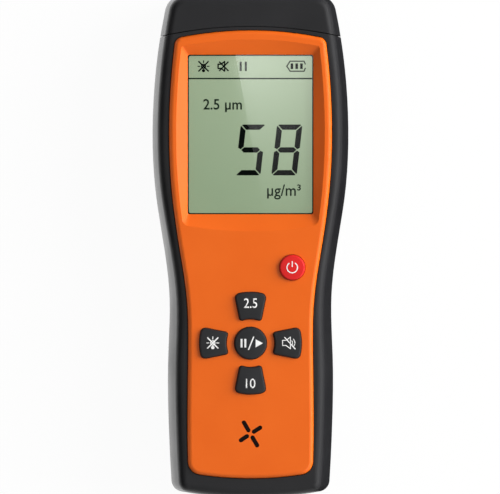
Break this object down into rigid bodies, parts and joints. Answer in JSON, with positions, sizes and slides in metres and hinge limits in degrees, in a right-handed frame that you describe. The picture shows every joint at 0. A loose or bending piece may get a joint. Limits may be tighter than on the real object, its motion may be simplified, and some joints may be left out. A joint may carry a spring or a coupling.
{
  "type": "airborne particle counter",
  "caption": "Handheld air monitor with a waisted moulded housing, a recessed display, sprung keys round a round run key, a sounder and a laser particle sensor with its fan.",
  "frame": {"origin": "under the middle of the body, on the flat of its back", "axes": "+X to the user's right, +Y up the body to the air inlets, +Z out of the face"},
  "size_m": [0.0802, 0.206, 0.0349],
  "materials": {
    "body_black": "moulded, fine texture",
    "face_orange": "moulded, satin",
    "window_clear": "clear polycarbonate window",
    "panel_grey": "reflective liquid-crystal panel",
    "holder_black": "moulded",
    "guide_white": "light guide",
    "strip_grey": "layered contact rubber",
    "board_green": "solder-masked laminate",
    "chip_black": "moulded chip packages",
    "key_black": "soft-touch moulded key",
    "key_red": "soft-touch moulded key",
    "switch_black": "moulded switch body",
    "plunger_white": "moulded plunger",
    "sounder_black": "moulded",
    "foam_grey": "closed-cell foam",
    "socket_steel": "plated sheet",
    "cell_blue": "shrink sleeve over a steel can",
    "lead_grey": "insulated flat lead",
    "header_cream": "moulded connector",
    "sensor_grey": "moulded sensor case",
    "lid_steel": "folded sheet",
    "laser_brass": "turned barrel",
    "shaft_steel": "ground pin",
    "motor_copper": "wound stator",
    "fan_black": "moulded rotor",
    "screen_steel": "fine woven screen",
    "screw_steel": "blackened steel screws"
  },
  "bodies": {
    "housing": {"rear_shell": "body_black", "front_frame": "body_black", "top_cap": "body_black", "face_plate": "face_orange", "lcd_window": "window_clear", "lcd_panel": "panel_grey", "lcd_holder": "holder_black", "backlight_plate": "guide_white", "lcd_contact_strip": "strip_grey", "switch_bases": "switch_black", "main_board": "board_green", "board_chips": "chip_black", "sounder": "sounder_black", "sounder_gasket": "foam_grey", "charge_socket": "socket_steel", "charge_tongue": "holder_black", "battery_cell": "cell_blue", "battery_lead": "lead_grey", "battery_header": "header_cream", "sensor_case": "sensor_grey", "sensor_lid": "lid_steel", "sensor_board": "board_green", "laser_barrel": "laser_brass", "fan_shaft": "shaft_steel", "fan_motor": "motor_copper", "sensor_socket": "header_cream", "sensor_header": "header_cream", "sensor_cable": "lead_grey", "port_gasket": "foam_grey", "dust_screens": "screen_steel", "sensor_pad": "foam_grey", "case_screws": "screw_steel", "board_screws": "screw_steel"},
    "run_pause_button": {"run_pause_key": "key_black", "run_pause_plunger": "plunger_white"},
    "power_button": {"power_key": "key_red", "power_plunger": "plunger_white"},
    "mute_button": {"mute_key": "key_black", "mute_plunger": "plunger_white"},
    "fine_channel_button": {"fine_channel_key": "key_black", "fine_channel_plunger": "plunger_white"},
    "backlight_button": {"backlight_key": "key_black", "backlight_plunger": "plunger_white"},
    "coarse_channel_button": {"coarse_channel_key": "key_black", "coarse_channel_plunger": "plunger_white"},
    "fan": {"fan_rotor": "fan_black"}
  },
  "joints": [
    {"name": "run_pause_press", "type": "slide", "parent": "housing", "child": "run_pause_button", "axis": [0, 0, -1], "range_m": [0, 0.0005], "stiffness_N_per_m": 1000},
    {"name": "power_press", "type": "slide", "parent": "housing", "child": "power_button", "axis": [0, 0, -1], "range_m": [0, 0.0005], "stiffness_N_per_m": 1000},
    {"name": "mute_press", "type": "slide", "parent": "housing", "child": "mute_button", "axis": [0, 0, -1], "range_m": [0, 0.0005], "stiffness_N_per_m": 1000},
    {"name": "fine_channel_press", "type": "slide", "parent": "housing", "child": "fine_channel_button", "axis": [0, 0, -1], "range_m": [0, 0.0005], "stiffness_N_per_m": 1000},
    {"name": "backlight_press", "type": "slide", "parent": "housing", "child": "backlight_button", "axis": [0, 0, -1], "range_m": [0, 0.0005], "stiffness_N_per_m": 1000},
    {"name": "coarse_channel_press", "type": "slide", "parent": "housing", "child": "coarse_channel_button", "axis": [0, 0, -1], "range_m": [0, 0.0005], "stiffness_N_per_m": 1000},
    {"name": "fan_spin", "type": "hinge", "parent": "housing", "child": "fan", "pos_m": [0.0105, 0.072, 0.008], "axis": [0, 0, 1], "continuous": true}
  ]
}
